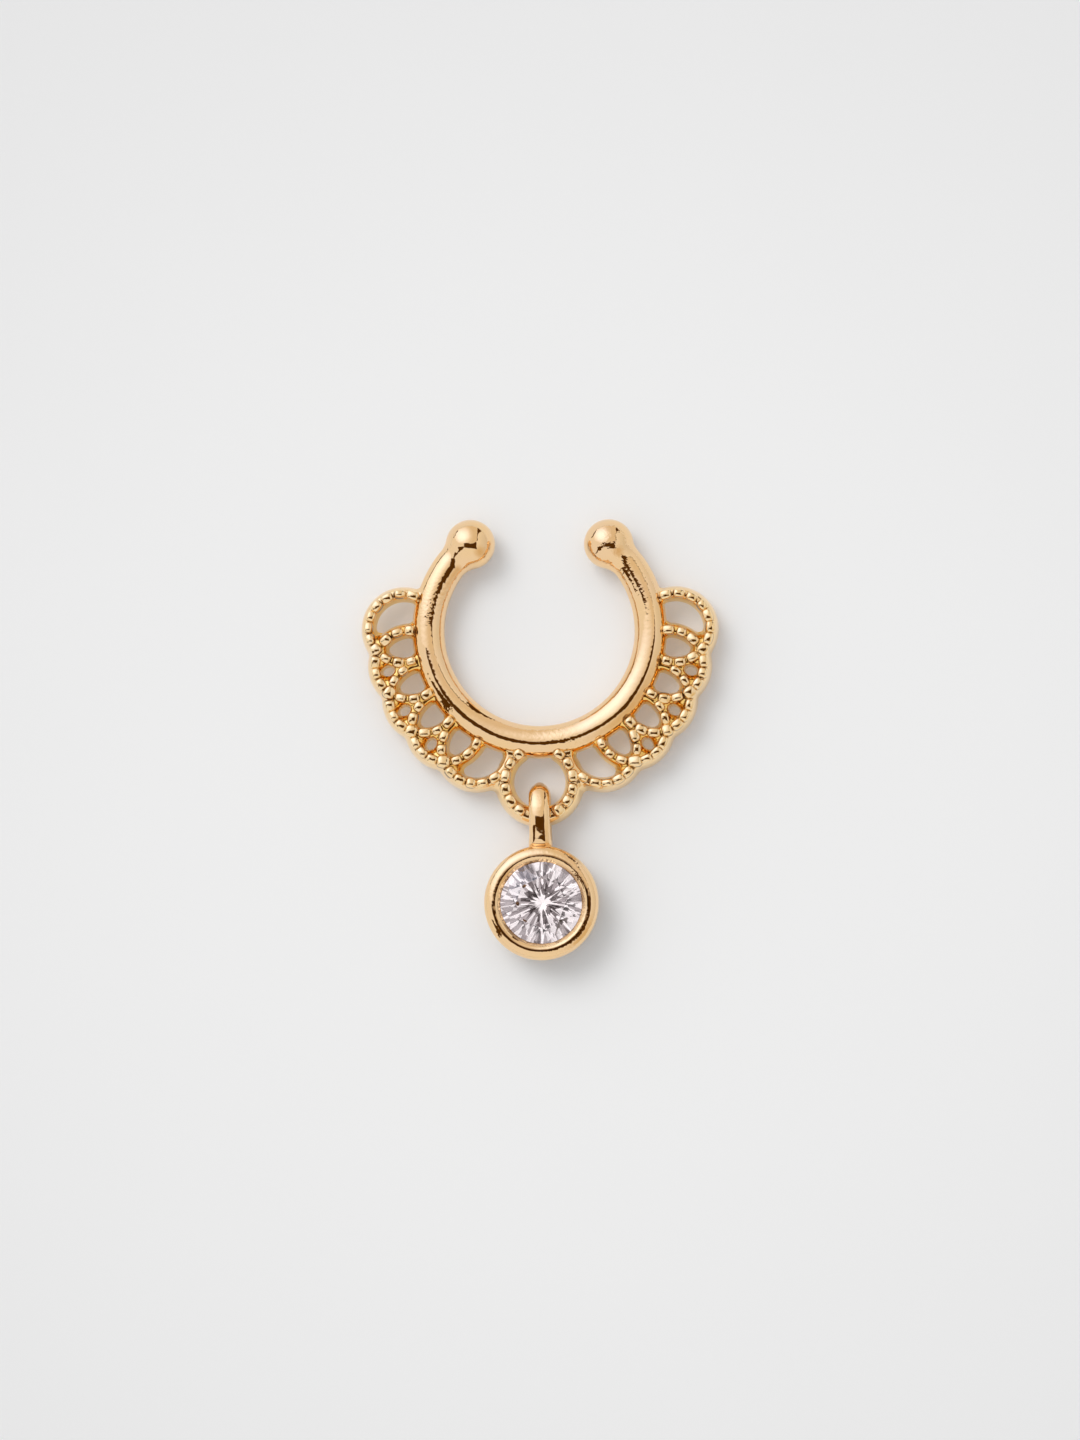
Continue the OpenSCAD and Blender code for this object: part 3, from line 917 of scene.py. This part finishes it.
def tent_mark(tree, ball, place, turn, half, taper, soft=0.06):
    """A mark on the light tent, as a mirror ball shows it: 1 inside and 0 outside. It is turned and has
    half its length and half its height given, and it narrows to a point on its left where taper is 1."""
    own = add_node(tree, "Mapping", {
        "Vector": ball, "Location": (*place, 0), "Rotation": (0, 0, math.radians(turn)), "Scale": (*half, 1)},
        vector_type="TEXTURE")
    split = add_node(tree, "SeparateXYZ", {"Vector": own}).node.outputs
    along, across = (add_node(tree, "Math", {0: split[axis]}, operation="ABSOLUTE") for axis in "XY")
    over = add_node(tree, "Math", {0: split["X"], 1: -taper / 2, 2: across}, operation="MULTIPLY_ADD")
    sides = [add_node(tree, "MapRange", {
        "Value": value, "From Min": edge - soft, "From Max": edge + soft, "To Min": 1.0, "To Max": 0.0},
        interpolation_type="SMOOTHSTEP") for value, edge in ((along, 1), (over, 1 - taper / 2))]
    return add_node(tree, "Math", {0: sides[0], 1: sides[1]}, operation="MULTIPLY")


def tent_spot(tree, ball, place, full, fade):
    """A round spot on the light tent, as a mirror ball shows it: 1 within the first distance from its place
    and 0 past the second"""
    away = add_node(tree, "VectorMath", {0: ball, 1: place}, "Value", operation="DISTANCE")
    return add_node(tree, "MapRange", {
        "Value": away, "From Min": full, "From Max": fade, "To Min": 1.0, "To Max": 0.0},
        interpolation_type="SMOOTHSTEP")


# Dark gaps of the tent in mirror-ball places: centre, turn in degrees, half length and half height, taper
LENS_WINDOW = ((0.025, -0.06), 4, (0.25, 0.2), 0.6)
TENT_GAPS = (
    ((-0.31, -0.165), 204, (0.14, 0.09), 1),    # left wing of the window for the lens
    ((-0.46, -0.3), 46, (0.14, 0.026), 0),      # seam running down to the left
    ((0.36, 0.52), 180, (0.085, 0.14), 1),      # gap in the upper right corner
    ((0.29, 0.26), 90, (0.13, 0.012), 0),       # seam along the right edge of the lamp's screen
    ((-0.56, 0.39), 58, (0.18, 0.016), 0),      # gap at the left edge of the screen
)
# The lamp's screen in such places: centre, half sizes and soft edge. Below, the middles of its glow and of
# the warm patch.
SCREEN_PLACE, SCREEN_HALF, SCREEN_EDGE = (-0.13, 0.38, 0), (0.44, 0.37, 1), (0.88, 1.12)
LAMP_GLOW, WARM_PATCH = (-0.3, 0.32, 0), (0.42, -0.34, 0)
# Tones of the tent, from black at 0 to white at 1, and past that where the lamp glares
CLOTH, FAR_CLOTH, WARM_CLOTH = (0.86, 0.85, 0.85, 1), (0.64, 0.62, 0.6, 1), (0.68, 0.55, 0.38, 1)
LAMP_HOT, LAMP_PALE = (1.32, 1.5, 1.92, 1), (0.75, 0.67, 0.57, 1)
GAP_TINT, GAP_EDGE = (0.08, 0.034, 0.004, 1), (0.45, 0.29, 0.12, 1)
# Tone past the card's edge, and how much brighter the stone sees the tent
BACKDROP, STONE_GAIN = 0.86, 1.4
# Towards the lamp, about 55 degrees up on the upper left
LAMP_SIDE = (-0.39, 0.418, 0.82)
# The card's light, by how far a direction lies towards the lamp: where it starts, its lowest and its highest
BROAD_LIGHT, CORE_LIGHT = (0.0, 0.3, 0.75), (0.93, 0.0, 4.6)


def light_tent(scene):
    """A white tent with a lamp behind its upper left wall. The metal and the stone mirror the tent's walls,
    seams and lens window, and the card gets its broad light, which comes mostly from the lamp's side."""
    world = bpy.data.worlds.new("light_tent")
    world.use_nodes = True
    scene.world = world
    tree = world.node_tree
    tree.nodes.clear()
    ray = add_node(tree, "TexCoord", output="Generated")
    # Where a mirror ball that is seen from above shows each direction
    lifted = add_node(tree, "VectorMath", {0: ray, 1: (0, 0, 1.0001)}, operation="ADD")
    ball = add_node(tree, "VectorMath", {0: lifted}, operation="NORMALIZE")
    ball = add_node(tree, "VectorMath", {0: ball, 1: (1, 1, 0)}, operation="MULTIPLY")
    # Walls, darker on the side away from the lamp, with a warm patch at the lower right where the room
    # shows through the cloth
    across = add_node(tree, "SeparateXYZ", {"Vector": ball}, output="X")
    far_side = add_node(tree, "MapRange", {
        "Value": across, "From Min": 0.3, "From Max": 0.8, "To Min": 0.0, "To Max": 1.0})
    warm = tent_spot(tree, ball, WARM_PATCH, full=0.02, fade=0.36)
    walls = CLOTH
    for mask, over in ((far_side, FAR_CLOTH), (warm, WARM_CLOTH)):
        walls = add_node(tree, "Mix", {0: mask, 6: walls, 7: over}, 2, data_type="RGBA")
    # The lamp's screen: rounded, hot and bluish on its left, fading to the right
    glow = tent_spot(tree, ball, LAMP_GLOW, full=0.04, fade=0.48)
    lit = add_node(tree, "Mix", {0: glow, 6: LAMP_PALE, 7: LAMP_HOT}, 2, data_type="RGBA")
    own = add_node(tree, "Mapping", {
        "Vector": ball, "Location": SCREEN_PLACE, "Scale": SCREEN_HALF}, vector_type="TEXTURE")
    own = add_node(tree, "VectorMath", {0: own}, operation="ABSOLUTE")
    split = add_node(tree, "SeparateXYZ", {"Vector": own}).node.outputs
    powers = [add_node(tree, "Math", {0: split[axis], 1: 4.0}, operation="POWER") for axis in "XY"]
    reach = add_node(tree, "Math", {0: powers[0], 1: powers[1]}, operation="ADD")
    screen = add_node(tree, "MapRange", {
        "Value": reach, "From Min": SCREEN_EDGE[0], "From Max": SCREEN_EDGE[1],
        "To Min": 1.0, "To Max": 0.0}, interpolation_type="SMOOTHSTEP")
    # The metal mirrors the lens window below the screen, and the gaps. The cloth beside a gap is warm, where
    # the room's light comes in.
    gaps = None
    for gap in TENT_GAPS:
        mark = tent_mark(tree, ball, *gap)
        gaps = mark if gaps is None else add_node(tree, "Math", {0: gaps, 1: mark}, operation="MAXIMUM")
    beside, inner = (add_node(tree, "MapRange", {
        "Value": gaps, "From Min": start, "From Max": end, "To Min": 0.0, "To Max": 1.0})
        for start, end in ((0.0, 0.5), (0.4, 1.0)))
    # The light that the metal throws on the card is held down, as a wide soft box does
    path = add_node(tree, "LightPath").node.outputs
    thrown = add_node(tree, "Math", {0: path["Diffuse Depth"], 1: 0.5}, operation="GREATER_THAN")
    metal = walls
    for mask, over in ((tent_mark(tree, ball, *LENS_WINDOW), GAP_TINT), (screen, lit), (beside, GAP_EDGE),
                       (inner, GAP_TINT), (thrown, (0, 0, 0, 1))):
        metal = add_node(tree, "Mix", {0: mask, 6: metal, 7: over}, 2, data_type="RGBA")
    # The stone sees the same tent without its window and gaps, and without the lamp's blue
    tent = add_node(tree, "Mix", {0: screen, 6: walls, 7: lit}, 2, data_type="RGBA")
    grey = add_node(tree, "RGBToBW", {"Color": tent})
    grey = add_node(tree, "Math", {0: grey, 1: STONE_GAIN}, operation="MULTIPLY")
    # The card's light: broad, from the lamp's side, with a rounder core that draws the shadows
    side = add_node(tree, "VectorMath", {0: ray, 1: LAMP_SIDE}, "Value", operation="DOT_PRODUCT")
    broad, core = (add_node(tree, "MapRange", {
        "Value": side, "From Min": start, "From Max": 1.0, "To Min": low, "To Max": high},
        interpolation_type="SMOOTHSTEP") for start, low, high in (BROAD_LIGHT, CORE_LIGHT))
    soft = add_node(tree, "Math", {0: broad, 1: core}, operation="ADD")
    light = add_node(tree, "Mix", {0: path["Is Camera Ray"], 2: soft, 3: BACKDROP}, data_type="FLOAT")
    for mask, over in ((path["Is Glossy Ray"], metal), (path["Is Transmission Ray"], grey)):
        light = add_node(tree, "Mix", {0: mask, 6: light, 7: over}, 2, data_type="RGBA")
    background = add_node(tree, "Background", {"Color": light, "Strength": 1.0})
    add_node(tree, "OutputWorld", {"Surface": background})


class RING_OT_stage(bpy.types.Operator):
    """Adds the pale card, the light tent and the camera"""
    bl_idname = "septum_ring.stage"
    bl_label = "Add stage"

    def execute(self, context):
        scene = context.scene
        bm = bmesh.new()
        bmesh.ops.create_grid(bm, x_segments=8, y_segments=8, size=CARD_HALF)
        mesh = bpy.data.meshes.new("card")
        bm.to_mesh(mesh)
        bm.free()
        mesh.materials.append(card(scene.septum_ring.finish))
        floor = bpy.data.objects.new("card", mesh)
        scene.collection.objects.link(floor)
        light_tent(scene)
        lens = bpy.data.cameras.new("camera")
        lens.lens = 100
        lens.sensor_fit = "VERTICAL"
        lens.sensor_height = 36
        lens.clip_start = 0.01
        lens.clip_end = 10
        camera = bpy.data.objects.new("camera", lens)
        scene.collection.objects.link(camera)
        lean, heading = CAMERA_LEAN, CAMERA_HEADING
        out = Vector((math.sin(lean) * math.cos(heading), math.sin(lean) * math.sin(heading), math.cos(lean)))
        side = Vector((0, 1, 0)).cross(out).normalized()
        turn = Matrix((side, out.cross(side), out)).transposed().to_4x4()
        place = Vector(CAMERA_TARGET) * MM + out * CAMERA_REACH * MM
        camera.matrix_world = Matrix.Translation(place) @ turn
        scene.camera = camera
        scene.view_settings.view_transform = "Standard"
        return {"FINISHED"}


class VIEW3D_PT_septum_ring(bpy.types.Panel):
    """Lists the steps and the sizes of the ring"""
    bl_label = "Septum ring"
    bl_idname = "VIEW3D_PT_septum_ring"
    bl_space_type = "VIEW_3D"
    bl_region_type = "UI"
    bl_category = "Septum ring"

    def draw(self, context):
        settings = context.scene.septum_ring
        for operator in OPERATORS:
            self.layout.operator(operator.bl_idname)
        for group in ("band", "lace", "beads", "loop", "drop", "stone", "finish"):
            box = self.layout.box()
            box.label(text=group.capitalize())
            values = getattr(settings, group)
            for prop in values.bl_rna.properties:
                if prop.type == "FLOAT":
                    box.prop(values, prop.identifier)


OPERATORS = (RING_OT_band, RING_OT_lace, RING_OT_beads, RING_OT_drop, RING_OT_stone, RING_OT_stage)
CLASSES = (BandSettings, LaceSettings, BeadSettings, LoopSettings, DropSettings, StoneSettings,
           FinishSettings, RingSettings, *OPERATORS, VIEW3D_PT_septum_ring)


def register():
    for cls in CLASSES:
        bpy.utils.register_class(cls)
    bpy.types.Scene.septum_ring = PointerProperty(type=RingSettings)


def unregister():
    del bpy.types.Scene.septum_ring
    for cls in reversed(CLASSES):
        bpy.utils.unregister_class(cls)


def main():
    register()
    steps = bpy.ops.septum_ring
    for step in (steps.band, steps.lace, steps.beads, steps.drop, steps.stone, steps.stage):
        step()


if __name__ == "__main__":
    main()
